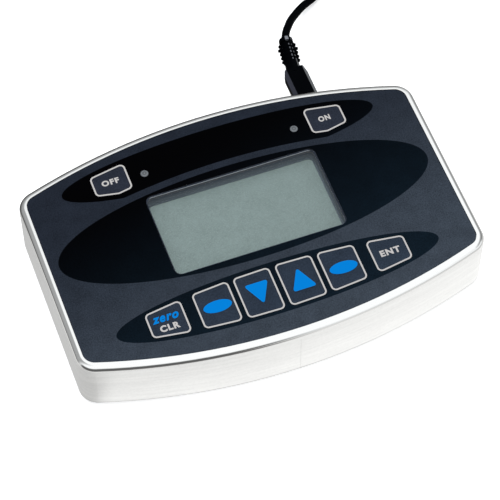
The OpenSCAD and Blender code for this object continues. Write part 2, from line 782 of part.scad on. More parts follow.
// Hexagonal spacers, each with a stud up into a post and a bore for a screw from below
module board_spacers() {
    color("silver") lcd_post_places() difference() {
        union() {
            translate([0, 0, main_z]) cylinder(d = spacer_flats / cos(30), h = spacer_h, $fn = 6);
            pin(board_screw_r, main_z + spacer_h - bite, lcd_board_z + stud_l - 0.5);
        }
        pin(board_screw_r + bore_ease, main_z - eps, main_z + spacer_h - 0.8);
    }
}

module board_screw(z) {
    difference() {
        union() {
            pin(board_screw_head_r, z - board_screw_head_t, z);
            pin(board_screw_r, z - bite, z + board_t + board_screw_grip);
        }
        for (a = [0, 90]) rotate(a) translate([0, 0, z - board_screw_head_t])
            cube([2.4, 0.5, 1], center = true);
    }
}

module board_screws() {
    color("silver") {
        lcd_post_places() board_screw(main_under_z);
        port_post_places() board_screw(port_board_z - board_t);
    }
}

module main_board() {
    color(board_green) difference() {
        translate([-main_left, -main_front, main_under_z])
            cube([main_left + main_right, main_front + main_back, board_t]);
        lcd_post_places() pin(board_screw_r + board_screw_gap, main_under_z - eps, main_z + eps);
    }
}

module main_processor() {
    color([0.12, 0.12, 0.13])
        for (c = CHIPS) plate(main_z, c[2], rectangle(c[0], c[1][0], c[1][1]));
}

module keypad_connector() {
    depth = 4.5;
    height = 2.2;
    slot_gap = 0.2;
    color("ivory") difference() {
        translate([tail_x - tail_w / 2 - 2, -main_front, main_z]) cube([tail_w + 4, depth, height]);
        translate([tail_x - tail_w / 2 - slot_gap, -main_front - eps,
                   main_z + tail_end_z - tail_t / 2 - slot_gap])
            cube([tail_w + 2 * slot_gap, tail_grip + slot_gap, tail_t + 2 * slot_gap]);
    }
}

module battery_pack() {
    color([0.1, 0.3, 0.55]) translate([pack_x, 0, cover_top_z + pack_gap]) rotate([90, 0, 0])
        linear_extrude(pack_l, center = true)
            polygon(rounded(rectangle([pack_w, pack_t] / 2, pack_w, pack_t), pack_t / 2 - 0.5));
}

module battery_leads() {
    z = main_z + 2;
    color("red") difference() {
        for (s = [-1, 1]) translate([main_right - 0.5, s * 1.25, z]) rotate([0, 90, 0])
            cylinder(r = pack_wire_r, h = pack_x - main_right + pack_t / 3);
        battery_pack();
    }
}

module battery_connector() {
    color("ivory") translate([main_right - 0.5 - battery_plug[0], -battery_plug[1] / 2, main_z])
        cube(battery_plug);
}

module port_board() {
    color(board_green) difference() {
        translate([port_x - port_board_w / 2, port_board_front, port_board_z - board_t])
            cube([port_board_w, port_board_back - port_board_front, board_t]);
        port_post_places()
            pin(board_screw_r + board_screw_gap, port_board_z - board_t - eps, port_board_z + eps);
    }
}

// The header that joins the port board to the main board
module board_link() {
    color([0.1, 0.1, 0.1]) translate([link_x - link_w / 2, port_board_front + 0.2, main_z])
        cube([link_w, link_l, port_board_z - board_t - main_z]);
}

// Metal shell of the port, open to the back, with the contact tongue inside
module data_port() {
    color("silver") {
        difference() {
            port_block(port_w, port_h, 0.8, port_front - port_l, port_front);
            port_block(port_w - 2 * port_wall, port_h - 2 * port_wall, 0.5,
                       port_front - port_l + 1, port_front + eps);
        }
        port_block(shell_w - 2 * shell_t - 1.6, tongue_t, 0.2, port_front - port_l + 0.5,
                   port_front - 1);
    }
}

module socket_shell() {
    edge = 0.4;
    flange_r = socket_r + 2;
    color("silver") at_socket() difference() {
        union() {
            pin(socket_r, socket_tail, socket_flange_t);
            rotate_extrude() polygon(concat([[0, 0], [flange_r, 0]],
                arc([flange_r - edge, socket_flange_t - edge], edge, 0, 90, 4),
                [[0, socket_flange_t]]));
        }
        pin(socket_seat_r, socket_tail - eps, socket_flange_t + eps);
        pin(socket_bore_r, socket_floor, socket_flange_t + eps);
    }
}

module contact_places() {
    for (i = [0 : 5]) rotate(60 * i) translate([contact_ring_r, 0, 0]) children();
    children();
}

module socket_insert() {
    color(black) at_socket() difference() {
        pin(socket_seat_r - 0.05, socket_tail, socket_floor);
        contact_places() pin(contact_r + 0.05, socket_tail - eps, socket_floor + eps);
    }
}

module socket_contacts() {
    color("gold") at_socket() contact_places() pin(contact_r, contact_tail, socket_floor - 0.5);
}

module socket_nut() {
    color("silver") at_socket() difference() {
        translate([0, 0, nut_z - nut_t]) cylinder(d = nut_flats / cos(30), h = nut_t, $fn = 6);
        pin(socket_r + 0.05, nut_z - nut_t - eps, nut_z + eps);
    }
}

// Half profile of the ribbed strain relief, from the plug's end at 0 to its tip
module relief_profile() {
    tip_r = lead_d / 2 + 0.6;
    tip_ring = 2;
    neck = relief_l * 0.27;
    pitch = (relief_l - neck - tip_ring) / relief_ribs;
    polygon([[lead_d / 2, -2], [relief_core_r, -2], [relief_core_r, 0], [tip_r, relief_l - 1],
             [lead_d / 2, relief_l - 1]]);
    rib_r = relief_core_r + 0.25;
    rib_taper = 0.08;
    for (i = [0 : relief_ribs - 1]) translate([0, neck + (i + 0.2) * pitch])
        polygon([[lead_d / 2, 0], [tip_r, 0], [rib_r - rib_taper * i, pitch * 0.3],
                 [tip_r, pitch * 0.6], [lead_d / 2, pitch * 0.6]]);
    translate([lead_d / 2, relief_l - tip_ring]) square([tip_r - lead_d / 2 + 0.7, tip_ring]);
}

// Places a shape at the plug's cord end, its +Z along the strain relief
module at_relief() {
    way = relief_tip - relief_start;
    yaw = atan2(way[1], way[0]);
    drop = atan2(-way[2], norm([way[0], way[1]]));
    translate(relief_start) rotate([0, 90 + drop, yaw]) children();
}

// Moulding of the lead's plug: a block with bevelled long edges, sloped shoulders and the relief
module lead_plug() {
    shoulder = 3;
    b = plug_bevel;
    slope = 0.9;
    color(black) difference() {
        union() {
            intersection() {
                translate([port_x, plug_end_y, socket_z]) rotate([90, 0, 0])
                    linear_extrude(plug_end_y - plug_front_y)
                        polygon([[-plug_w / 2, b - plug_t / 2], [b - plug_w / 2, -plug_t / 2],
                                 [plug_w / 2 - b, -plug_t / 2], [plug_w / 2, b - plug_t / 2],
                                 [plug_w / 2, plug_t / 2 - b], [plug_w / 2 - b, plug_t / 2],
                                 [b - plug_w / 2, plug_t / 2], [-plug_w / 2, plug_t / 2 - b]]);
                translate([port_x, 0, 0]) linear_extrude(socket_z + plug_t)
                    polygon([[-plug_w / 2, plug_front_y], [plug_w / 2, plug_front_y],
                             [plug_w / 2, plug_end_y - shoulder], [plug_w / 2 - slope, plug_end_y],
                             [slope - plug_w / 2, plug_end_y], [-plug_w / 2, plug_end_y - shoulder]]);
            }
            at_relief() rotate_extrude() relief_profile();
        }
        at_relief() pin(lead_d / 2, relief_l - relief_grip, relief_l + 1);
    }
}

module plug_shell() {
    tip = plug_front_y - plug_shell_l;
    color("silver") difference() {
        port_block(shell_w, shell_h, 0.5, tip, plug_front_y);
        port_block(shell_w - 2 * shell_t, shell_h - 2 * shell_t, 0.3, tip - eps, plug_front_y + eps);
    }
}

// A tube through the points of a route, closed at both ends
function ahead(p, i) = unit(p[min(i + 1, len(p) - 1)] - p[max(i - 1, 0)]);
function across(d) = unit(cross([0, 0, 1], d));
module tube(route, r, sides = 8) {
    n = len(route);
    rings = [for (i = [0 : n - 1])
        let (d = ahead(route, i), s = across(d), u = cross(d, s))
        each [for (k = [0 : sides - 1]) route[i] + r * (cos(360 * k / sides) * s
                                                        + sin(360 * k / sides) * u)]];
    walls = [for (i = [0 : n - 2], k = [0 : sides - 1])
        let (a = i * sides + k, b = i * sides + (k + 1) % sides)
        each [[a, a + sides, b + sides], [a, b + sides, b]]];
    ends = [[for (k = [0 : sides - 1]) k], [for (k = [sides - 1 : -1 : 0]) (n - 1) * sides + k]];
    polyhedron(rings, concat(walls, ends));
}

module lead_cord() {
    start = relief_tip - relief_grip * unit(relief_tip - relief_start);
    color(black) {
        tube(concat([start], LEAD_ROUTE), lead_d / 2);
        tube(TAIL_ROUTE, lead_d / 2);
    }
}

module coil_section(grow = 0) {
    translate([coil_in_r - grow, tie_t - grow])
        square([coil_out_r - coil_in_r + 2 * grow, coil_h + 2 * grow]);
}

module lead_coil() {
    color(black) translate([coil_centre[0], coil_centre[1], 0]) rotate_extrude() coil_section();
}

module coil_tie() {
    color([0.2, 0.2, 0.2]) difference() {
        translate([coil_centre[0], coil_centre[1], 0]) intersection() {
            rotate_extrude() coil_section(tie_t);
            rotate(tie_angle) translate([0, -tie_w / 2, 0])
                cube([coil_out_r + 2 * tie_t, tie_w, coil_h + 3 * tie_t]);
        }
        lead_coil();
    }
}

// The far plug lies on the table, its cord end towards the coil
module far_plug_block(w, t, r, from, to) {
    translate([from, far_plug_y, far_plug_t / 2]) rotate([90, 0, 90])
        linear_extrude(to - from) polygon(rounded(rectangle([0, 0], w, t), r));
}

module far_plug() {
    color(black) difference() {
        union() {
            far_plug_block(far_plug_w, far_plug_t, 2, far_plug_x - far_plug_l, far_plug_x - 8);
            translate([far_plug_x - 8, far_plug_y, far_plug_t / 2]) rotate([0, 90, 0])
                cylinder(r1 = 3.4, r2 = 2.2, h = 8);
        }
        translate([far_plug_x, far_plug_y, far_plug_t / 2]) rotate([0, 90, 0])
            cylinder(r = lead_d / 2, h = 6, center = true);
    }
}

module far_plug_shell() {
    tip = far_plug_x - far_plug_l;
    color("silver") difference() {
        far_plug_block(far_shell_w, far_shell_h, 0.5, tip - far_shell_l, tip);
        far_plug_block(far_shell_w - 2 * far_shell_t, far_shell_h - 2 * far_shell_t, 0.2,
                       tip - far_shell_l - eps, tip - 1);
    }
}

housing();
bottom_cover();
cover_screws();
rubber_feet();
overlay_film();
black_fields();
display_window();
keypad_spacer();
keypad_circuit();
lamp(-1);  // left_lamp
lamp(1);  // right_lamp
display_gasket();
display_frame();
display_glass();
display_backlight();
display_board();
board_spacers();
board_screws();
main_board();
main_processor();
keypad_connector();
battery_pack();
battery_leads();
battery_connector();
port_board();
board_link();
data_port();
socket_shell();
socket_insert();
socket_contacts();
socket_nut();
lead_plug();
plug_shell();
lead_cord();
lead_coil();
coil_tie();
far_plug();
far_plug_shell();
for (i = [0 : 7]) {
    key(i);
    dome(i);
}
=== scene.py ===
"""Dresses a portable torque data analyzer: finishes, key legends, the lead's cord and a plain stage."""

import math
from functools import partial

import bpy
from bpy.props import FloatProperty, FloatVectorProperty, IntProperty, PointerProperty
from mathutils import Matrix, Vector


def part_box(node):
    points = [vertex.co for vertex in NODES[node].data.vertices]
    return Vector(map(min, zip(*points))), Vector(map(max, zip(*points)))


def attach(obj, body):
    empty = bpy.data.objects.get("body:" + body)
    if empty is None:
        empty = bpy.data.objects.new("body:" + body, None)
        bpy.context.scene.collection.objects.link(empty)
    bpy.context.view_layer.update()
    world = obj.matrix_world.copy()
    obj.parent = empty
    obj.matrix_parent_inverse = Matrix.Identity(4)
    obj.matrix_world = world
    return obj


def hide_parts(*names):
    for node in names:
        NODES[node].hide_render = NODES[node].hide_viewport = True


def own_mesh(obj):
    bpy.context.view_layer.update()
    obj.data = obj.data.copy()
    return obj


bl_info = {
    "name": "Bench analyzer dresser",
    "version": (1, 0, 0),
    "blender": (4, 5, 0),
    "location": "View3D > Sidebar > Analyzer",
    "description": "Finishes, legends, lead and stage for a portable torque data analyzer",
    "category": "Object",
}

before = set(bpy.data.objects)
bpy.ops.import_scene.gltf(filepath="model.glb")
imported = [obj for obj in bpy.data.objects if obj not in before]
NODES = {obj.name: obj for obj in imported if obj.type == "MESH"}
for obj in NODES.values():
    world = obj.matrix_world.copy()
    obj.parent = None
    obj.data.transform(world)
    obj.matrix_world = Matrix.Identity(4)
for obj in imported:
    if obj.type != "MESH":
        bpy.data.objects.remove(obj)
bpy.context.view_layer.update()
MM = 0.001

FILM_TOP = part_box("overlay_film")[1].z
HOUSING_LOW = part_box("housing")[0].z
RIM_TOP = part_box("housing")[1].z
KEYS = [name for name in NODES if name.endswith("_key")]
DOMES = [name for name in NODES if name.endswith("_dome")]

# Signs on the keys, in millimetres: corners, turn, then left, right, low and high edge
SIGNS = {
    "left_oval_key": (64, 0, (-31.4, -19.9, -35.5, -30.2)),
    "down_key": (3, math.pi, (-12.75, -3.85, -37.2, -27.95)),
    "up_key": (3, 0, (4.4, 13.4, -37.05, -27.8)),
    "right_oval_key": (64, 0, (20.6, 32.1, -35.7, -30.4)),
}

# Kinds of socket on the shared groups
NUMBER = "NodeSocketFloat"
COLOUR = "NodeSocketColor"
VECTOR = "NodeSocketVector"


def srgb(red, green, blue):
    """A colour read on a 0 to 255 scale, as linear light."""
    return tuple(((c / 255 + 0.055) / 1.055) ** 2.4 if c > 10 else c / 3294.6 for c in (red, green, blue))


def colour_property(name, description, red, green, blue):
    """A colour that the panel shows, given on a 0 to 255 scale."""
    return FloatVectorProperty(name=name, description=description, subtype="COLOR", size=3,
                               min=0, max=1, default=srgb(red, green, blue))


class AnalyzerFront(bpy.types.PropertyGroup):
    """Colours of the membrane front and its display"""

    # The colours in front are painted light: more light falls on the front of the film, its print and its
    # keys
    film: colour_property("Film", "Ground colour of the front film, at the back", 29, 34, 43)
    film_light: colour_property("Film in front", "Ground colour of the front film, at the front",
                                53, 60, 69)
    print_black: colour_property("Print", "Colour of the dark printed fields, at the back", 0, 0, 1)
    print_light: colour_property("Print in front", "Colour of the dark printed fields, at the front",
                                 12, 23, 32)
    key: colour_property("Key", "Ground colour of the keys, at the back", 36, 40, 50)
    key_light: colour_property("Key in front", "Ground colour of the keys, at the front", 40, 49, 61)
    line: colour_property("Line", "Colour of the key outlines and white legends", 176, 173, 171)
    sign: colour_property("Sign", "Colour of the signs on the keys", 0, 113, 191)
    display: colour_property("Display", "Colour of the unlit display", 131, 149, 147)
    # The lining's two colours are painted light and shade: lighter at the glass, darker in the shade
    # under the film
    gasket: colour_property("Gasket", "Colour of the lining round the display, at the glass", 76, 88, 97)
    gasket_top: colour_property("Gasket, top", "Colour of the lining round the display, at the film",
                                42, 49, 64)
    lamp: colour_property("Lamp", "Colour of the unlit lamps", 84, 88, 92)


class AnalyzerMetal(bpy.types.PropertyGroup):
    """Finish of the case"""

    colour: colour_property("Metal", "Colour of the case's metal", 238, 238, 236)
    wall_roughness: FloatProperty(name="Wall roughness", description="Roughness of the satin walls",
                                  default=0.36, min=0.05, max=1)
    rim_roughness: FloatProperty(name="Rim roughness", description="Roughness of the polished rim",
                                 default=0.1, min=0.02, max=1)


class AnalyzerLead(bpy.types.PropertyGroup):
    """Size of the lead's cord and of its coil"""

    diameter: FloatProperty(name="Diameter", description="Diameter of the cord", default=3.4 * MM,
                            min=2 * MM, max=5 * MM, unit="LENGTH")
    pitch: FloatProperty(name="Pitch", description="Distance between two turns of the coil",
                         default=3.45 * MM, min=2 * MM, max=6 * MM, unit="LENGTH")
    points_per_turn: IntProperty(name="Points", description="Points in each turn of the coil",
                                 default=24, min=12, max=48)
    jacket: colour_property("Jacket", "Colour of the cord and its mouldings", 1, 2, 4)


class AnalyzerStage(bpy.types.PropertyGroup):
    """Camera and light"""

    azimuth: FloatProperty(name="Azimuth", description="Camera's turn about the object",
                           default=math.radians(-20.278), subtype="ANGLE", unit="ROTATION")
    elevation: FloatProperty(name="Elevation", description="Camera's height above the horizon",
                             default=math.radians(56.902), subtype="ANGLE", unit="ROTATION")
    distance: FloatProperty(name="Distance", description="From the camera to the point it aims at",
                            default=856.73 * MM, unit="LENGTH")
    lens: FloatProperty(name="Lens", description="Focal length", default=157.77, min=20, max=400)
    dome: FloatProperty(name="Dome", description="Strength of the light all round", default=1.15, min=0)
    lamp: FloatProperty(name="Softbox", description="Power of the softbox above", default=3, min=0)


def deselect():
    for obj in bpy.context.selected_objects:
        obj.select_set(False)


def select_only(obj):
    deselect()
    obj.select_set(True)
    bpy.context.view_layer.objects.active = obj


def settle(obj):
    """Puts the object at the origin, with its place kept in its mesh."""
    select_only(obj)
    bpy.ops.object.transform_apply(location=True, rotation=True, scale=True)
    return obj


def fit(obj, edges, bottom, top):
    """Stretches a mesh to its left, right, low and high edge, and between two heights."""
    left, right, low, high = edges
    spots = [v.co for v in obj.data.vertices]
    lo = Vector([min(s[i] for s in spots) for i in range(3)])
    hi = Vector([max(s[i] for s in spots) for i in range(3)])
    size = hi - lo
    scale = Vector(((right - left) / size.x, (high - low) / size.y, (top - bottom) / size.z))
    obj.data.transform(Matrix.Translation(Vector((left, low, bottom))) @ Matrix.Diagonal(scale).to_4x4()
                       @ Matrix.Translation(-lo))
    return obj


def dress(obj, material):
    """Gives the whole object one material."""
    obj.data.materials.clear()
    obj.data.materials.append(material)


def dress_nodes(material, *names):
    """Gives each of the frame's nodes that are named one material."""
    for name in names:
        dress(NODES[name], material)


def middle_of(name):
    """The middle of a node's box."""
    low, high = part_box(name)
    return (low + high) / 2


class Finish:
    """A material under construction: its tree, its shader and short ways to add and join nodes."""

    def __init__(self, name, colour, roughness, metallic=0.0, specular=0.5):
        self.material = bpy.data.materials.new(name)
        self.material.use_nodes = True
        self.tree = self.material.node_tree
        self.shader = self.tree.nodes["Principled BSDF"]
        self.set("Base Color", (*colour[:3], 1))
        self.set("Roughness", roughness)
        self.set("Metallic", metallic)
        self.set("Specular IOR Level", specular)
        self.coords = self.add("ShaderNodeTexCoord").outputs["Object"]

    def set(self, socket, value):
        self.shader.inputs[socket].default_value = value

    def feed(self, socket, output):
        self.tree.links.new(output, self.shader.inputs[socket])

    def ground(self):
        """The colour that feeds the shader so far."""
        return self.shader.inputs["Base Color"].links[0].from_socket

    def add(self, kind, inputs=None, **settings):
        return node_in(self.tree, kind, inputs or {}, **settings)

    def use(self, group, **inputs):
        """Places a shared group."""
        return self.add("ShaderNodeGroup", inputs, node_tree=group())

    def axes(self):
        """X, Y and Z of the place on the object."""
        parts = self.add("ShaderNodeSeparateXYZ", {0: self.coords}).outputs
        return parts["X"], parts["Y"], parts["Z"]

    def normal(self):
        return self.add("ShaderNodeTexCoord").outputs["Normal"]

    def math(self, operation, a, b=0.0, c=0.0):
        return math_in(self.tree, operation, a, b, c)

    def vector(self, operation, a, b=(0, 0, 0)):
        """A vector operation's result, which is a number for a dot product and a length."""
        outputs = self.add("ShaderNodeVectorMath", {0: a, 1: b}, operation=operation).outputs
        return outputs["Value" if operation in ("DOT_PRODUCT", "LENGTH") else "Vector"]

    def mix(self, factor, a, b):
        """Mixes two colours."""
        return self.add("ShaderNodeMix", {"Factor": factor, 6: a, 7: b}, data_type="RGBA").outputs[2]

    def bump(self, height, distance):
        node = self.add("ShaderNodeBump", {"Height": height, "Distance": distance, "Strength": 1.0})
        self.feed("Normal", node.outputs["Normal"])


def fill(tree, node, inputs):
    """Sets a node's inputs: an output is linked, and a value is stored."""
    for name, value in inputs.items():
        if isinstance(value, bpy.types.NodeSocket):
            tree.links.new(value, node.inputs[name])
        elif node.inputs[name].type == "RGBA":
            node.inputs[name].default_value = (*value[:3], 1)
        else:
            node.inputs[name].default_value = value


def shared_group(name, inputs, outputs):
    """Starts a node group with named sockets. Returns it with its two ends."""
    tree = bpy.data.node_groups.new(name, "ShaderNodeTree")
    for label, kind in inputs:
        tree.interface.new_socket(label, in_out="INPUT", socket_type=kind)
    for label, kind in outputs:
        tree.interface.new_socket(label, in_out="OUTPUT", socket_type=kind)
    return tree, tree.nodes.new("NodeGroupInput"), tree.nodes.new("NodeGroupOutput")


def node_in(tree, kind, inputs, **settings):
    """A new node with its settings made and its inputs filled."""
    node = tree.nodes.new(kind)
    for name, value in settings.items():
        setattr(node, name, value)
    fill(tree, node, inputs)
    return node


def math_in(tree, operation, a, b=0.0, c=0.0):
    """The result of arithmetic on numbers."""
    return node_in(tree, "ShaderNodeMath", {0: a, 1: b, 2: c}, operation=operation).outputs[0]


def ramp_in(tree, value, start, end, low=0.0, high=1.0):
    """From low at the start to high at the end, and smooth between them."""
    node = node_in(tree, "ShaderNodeMapRange", {"Value": value, "From Min": start, "From Max": end,
                                                "To Min": low, "To Max": high},
                   interpolation_type="SMOOTHSTEP")
    return node.outputs[0]


def blend_in(tree, factor, a, b):
    """Mixes two numbers."""
    return node_in(tree, "ShaderNodeMix", {"Factor": factor, "A": a, "B": b}).outputs[0]


def grain():
    """Fine grain: a colour broken up by two sizes of noise, and the height that goes with it."""
    if "Fine grain" in bpy.data.node_groups:
        return bpy.data.node_groups["Fine grain"]
    tree, start, end = shared_group(
        "Fine grain",
        [("Vector", VECTOR), ("Colour", COLOUR), ("Scale", NUMBER), ("Amount", NUMBER)],
        [("Colour", COLOUR), ("Height", NUMBER)])
    place, scale = start.outputs["Vector"], start.outputs["Scale"]
    coarser, coarse_share = 0.07, 0.3
    fine = node_in(tree, "ShaderNodeTexNoise", {"Vector": place, "Scale": scale, "Detail": 3.0})
    coarse = node_in(tree, "ShaderNodeTexNoise",
                     {"Vector": place, "Scale": math_in(tree, "MULTIPLY", scale, coarser), "Detail": 2.0})
    both = math_in(tree, "MULTIPLY_ADD", coarse.outputs[0], coarse_share, fine.outputs[0])
    centred = math_in(tree, "SUBTRACT", both, (1 + coarse_share) / 2)
    swing = math_in(tree, "MULTIPLY_ADD", centred, start.outputs["Amount"], 1.0)
    shade = node_in(tree, "ShaderNodeVectorMath", {0: start.outputs["Colour"], 3: swing},
                    operation="SCALE")
    tree.links.new(shade.outputs[0], end.inputs["Colour"])
    tree.links.new(fine.outputs[0], end.inputs["Height"])
    return tree


def above():
    """One above a height and nothing below it, with a soft step."""
    if "Above a height" in bpy.data.node_groups:
        return bpy.data.node_groups["Above a height"]
    tree, start, end = shared_group(
        "Above a height", [("Vector", VECTOR), ("Height", NUMBER), ("Softness", NUMBER)],
        [("Mask", NUMBER)])
    parts = node_in(tree, "ShaderNodeSeparateXYZ", {0: start.outputs["Vector"]})
    low = start.outputs["Height"]
    top = math_in(tree, "ADD", low, start.outputs["Softness"])
    tree.links.new(ramp_in(tree, parts.outputs["Z"], low, top), end.inputs["Mask"])
    return tree


def printed(name, dark, light):
    """Textured film, printed on its back, and a little lighter towards the front: painted light, as more
    light falls on the front.
    """
    finish = Finish(name, dark, 0.5, specular=0.015)
    # Painted light: the colour goes from dark at the back to light in front
    forward = finish.vector("DOT_PRODUCT", finish.coords, (0.25, -1.0, 0.0))
    tone = finish.mix(ramp_in(finish.tree, forward, -46 * MM, 64 * MM), dark, light)
    texture = finish.use(grain, Vector=finish.coords, Colour=tone, Scale=2200, Amount=1.7)
    finish.feed("Base Color", texture.outputs["Colour"])
    finish.bump(texture.outputs["Height"], 0.01 * MM)
    return finish


def plastic(name, colour, roughness=0.45, grain_scale=2500, amount=0.12, depth=0.02 * MM, specular=0.4):
    """Moulded or printed plastic with a fine grain."""
    finish = Finish(name, colour, roughness, specular=specular)
    texture = finish.use(grain, Vector=finish.coords, Colour=colour, Scale=grain_scale, Amount=amount)
    finish.feed("Base Color", texture.outputs["Colour"])
    finish.bump(texture.outputs["Height"], depth)
    return finish


def metal(name, colour, roughness):
    """Plain metal with faint tool marks."""
    finish = Finish(name, colour, roughness, metallic=1.0)
    texture = finish.use(grain, Vector=finish.coords, Colour=colour, Scale=1500, Amount=0.04)
    finish.feed("Base Color", texture.outputs["Colour"])
    finish.bump(texture.outputs["Height"], 0.004 * MM)
    return finish


def case_metal(look):
    """Satin walls with drawn streaks below a polished rim, a painted dark line on the rim, and painted
    shade along the bottom edge.
    """
    # Painted shade: below this height, along the bottom edge, the walls are darker
    edge_top = HOUSING_LOW + 0.8 * MM
    edge_shade = 0.68
    polish_low = RIM_TOP - 2.5 * MM
    # A thin darker line along the front, where the polish starts on the rounding: a painted reflection of
    # the dark room
    line_height, line_half, line_shade = RIM_TOP - 1.35 * MM, 0.4 * MM, 0.87
    side_y, front_y = -34 * MM, -42 * MM

    finish = Finish("Housing metal", look.colour, look.wall_roughness, metallic=1.0)
    stretch = finish.add("ShaderNodeMapping", {"Vector": finish.coords, "Scale": (0.05, 0.05, 1.0)})
    streaks = finish.use(grain, Vector=stretch.outputs[0], Colour=look.colour, Scale=700, Amount=0.22)
    mottle = finish.use(grain, Vector=finish.coords, Colour=streaks.outputs["Colour"], Scale=900,
                        Amount=0.14)
    # Painted shade along the bottom edge
    foot = finish.use(above, Vector=finish.coords, Height=edge_top, Softness=0.3 * MM)
    wall = finish.mix(foot.outputs["Mask"], [edge_shade * c for c in look.colour],
                      mottle.outputs["Colour"])
    rim = finish.use(above, Vector=finish.coords, Height=polish_low, Softness=0.4 * MM)
    polished = rim.outputs["Mask"]
    y, z = finish.axes()[1:]
    # Painted reflection: the thin dark line along the front of the rim
    line = finish.math("MULTIPLY", finish.math("COMPARE", z, line_height, line_half),
                       ramp_in(finish.tree, y, side_y, front_y))
    bright = finish.mix(line, look.colour, [line_shade * c for c in look.colour])
    finish.feed("Base Color", finish.mix(polished, wall, bright))
    finish.feed("Roughness", blend_in(finish.tree, polished, look.wall_roughness, look.rim_roughness))
    satin = finish.math("SUBTRACT", 1.0, polished)
    finish.bump(finish.math("MULTIPLY", streaks.outputs["Height"], satin), 0.006 * MM)
    return finish.material


def key_material(name, look, sign_at=None):
    """Key film with its raised outline in the line colour. A raised sign keeps the film's colour."""
    sign_reach = 6.3 * MM
    finish = printed(f"Key {name}", look.key, look.key_light)
    ground = finish.ground()
    raised = finish.use(above, Vector=finish.coords, Height=FILM_TOP + 0.02 * MM, Softness=0.02 * MM)
    mark = look.line
    if sign_at is not None:
        x, y = finish.axes()[:2]
        across = finish.math("COMPARE", x, sign_at.x, sign_reach)
        along = finish.math("COMPARE", y, sign_at.y, sign_reach)
        mark = finish.mix(finish.math("MULTIPLY", across, along), look.line, ground)
    finish.feed("Base Color", finish.mix(raised.outputs["Mask"], ground, mark))
    return finish.material


def moulding_material(look, tip, axis):
    """Black moulding with painted highlights on its bevels and where its round parts stand highest."""
    finish = plastic("Lead moulding", look.jacket, 0.4, 1800, 0.25, 0.01 * MM, 0.015)
    tone = finish.ground()
    normal = finish.normal()
    # Along the strain relief, from its tip
    along = finish.vector("DOT_PRODUCT", finish.vector("SUBTRACT", finish.coords, tip), axis)
    ribs = finish.math("COMPARE", along, -8 * MM, 5.5 * MM)
    ring = finish.math("COMPARE", along, -1 * MM, 1.1 * MM)
    # Painted highlights: the way a face looks, how closely it must look that way, the highlight's shade,
    # and the part that has it
    for way, start, end, shade, part in (
            ((-0.707, 0, 0.707), 0.994, 0.999, (0.032, 0.034, 0.045), 1.0),
            ((0.707, 0, 0.707), 0.994, 0.999, (0.12, 0.125, 0.13), 1.0),
            ((0.24, 0.06, 0.966), 0.99, 0.998, (0.16, 0.17, 0.19), ribs),
            ((0.1, 0.09, 0.985), 0.955, 0.975, (0.17, 0.18, 0.2), ring)):
        facing = finish.vector("DOT_PRODUCT", normal, way)
        lit = finish.math("MULTIPLY", ramp_in(finish.tree, facing, start, end), part)
        tone = finish.mix(lit, tone, shade)
    finish.feed("Base Color", tone)
    return finish.material


def lamp_material(look, centre):
    """Unlit lamp: a grey lens over a light die, with a dark ring, a light one and a dark edge."""
    reach = 1.8 * MM
    rings = ((0.0, 2.1), (0.12, 1.3), (0.26, 0.6), (0.45, 0.8), (0.68, 1.5), (0.82, 0.95), (0.96, 0.25))
    finish = Finish("Lamp lens", look.lamp, 0.28)
    shift = finish.vector("SUBTRACT", finish.coords, (centre.x, centre.y, 0))
    away = finish.vector("LENGTH", finish.vector("MULTIPLY", shift, (1, 1, 0)))
    ramp = finish.add("ShaderNodeValToRGB", {0: finish.math("DIVIDE", away, reach)})
    for place, shade in rings:
        stop = ramp.color_ramp.elements.new(place) if place else ramp.color_ramp.elements[0]
        stop.color = (*(c * shade for c in look.lamp), 1)
    finish.feed("Base Color", ramp.outputs[0])
    return finish.material


def display_material(look):
    """Unlit liquid crystal: a grey green that glows a little, painted light that evens out the shade of
    its deep window.
    """
    # Painted light: a share of the display's colour glows, against the shade in its window
    painted_glow = 0.45
    stage_light = 1.4
    ground = [c * (1 - painted_glow) / stage_light for c in look.display]
    finish = plastic("Display glass", ground, 0.35, 2000, 0.7, 0.004 * MM, 0.1)
    texture = finish.use(grain, Vector=finish.coords, Colour=look.display, Scale=2000, Amount=0.7)
    finish.feed("Emission Color", texture.outputs["Colour"])
    finish.set("Emission Strength", painted_glow)
    return finish.material


def lining_material(look):
    """Soft lining of the window: painted shade makes it darker under the film, and painted light makes it
    lighter at the glass.
    """
    finish = plastic("Gasket rubber", look.gasket, 0.6, 1600, 0.1, 0.01 * MM, 0.3)
    low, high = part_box("display_gasket")
    # Painted shade at the top and painted light at the bottom
    rise = ramp_in(finish.tree, finish.axes()[2], low.z, high.z)
    finish.feed("Base Color", finish.mix(rise, finish.ground(), look.gasket_top))
    return finish.material


def spacer_material(look):
    """Dark sheet under the film. Its cut edge catches the light along the back of the window."""
    finish = plastic("Spacer sheet", look.gasket_top, 0.6, 1600, 0.1, 0.01 * MM, 0.1)
    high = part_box("keypad_spacer")[1]
    edge = finish.use(above, Vector=finish.coords, Height=high.z - 0.4 * MM, Softness=0.1 * MM)
    facing = finish.vector("DOT_PRODUCT", finish.normal(), (0, -1, 0))
    lit = finish.math("MULTIPLY", edge.outputs["Mask"], ramp_in(finish.tree, facing, 0.8, 1.0))
    finish.feed("Base Color", finish.mix(lit, finish.ground(), (0.5, 0.51, 0.53)))
    return finish.material


def pane_material():
    """Clear pane that the display is read through."""
    finish = Finish("Window pane", (0.3, 0.32, 0.32), 0.05)
    finish.set("Alpha", 0.03)
    return finish.material


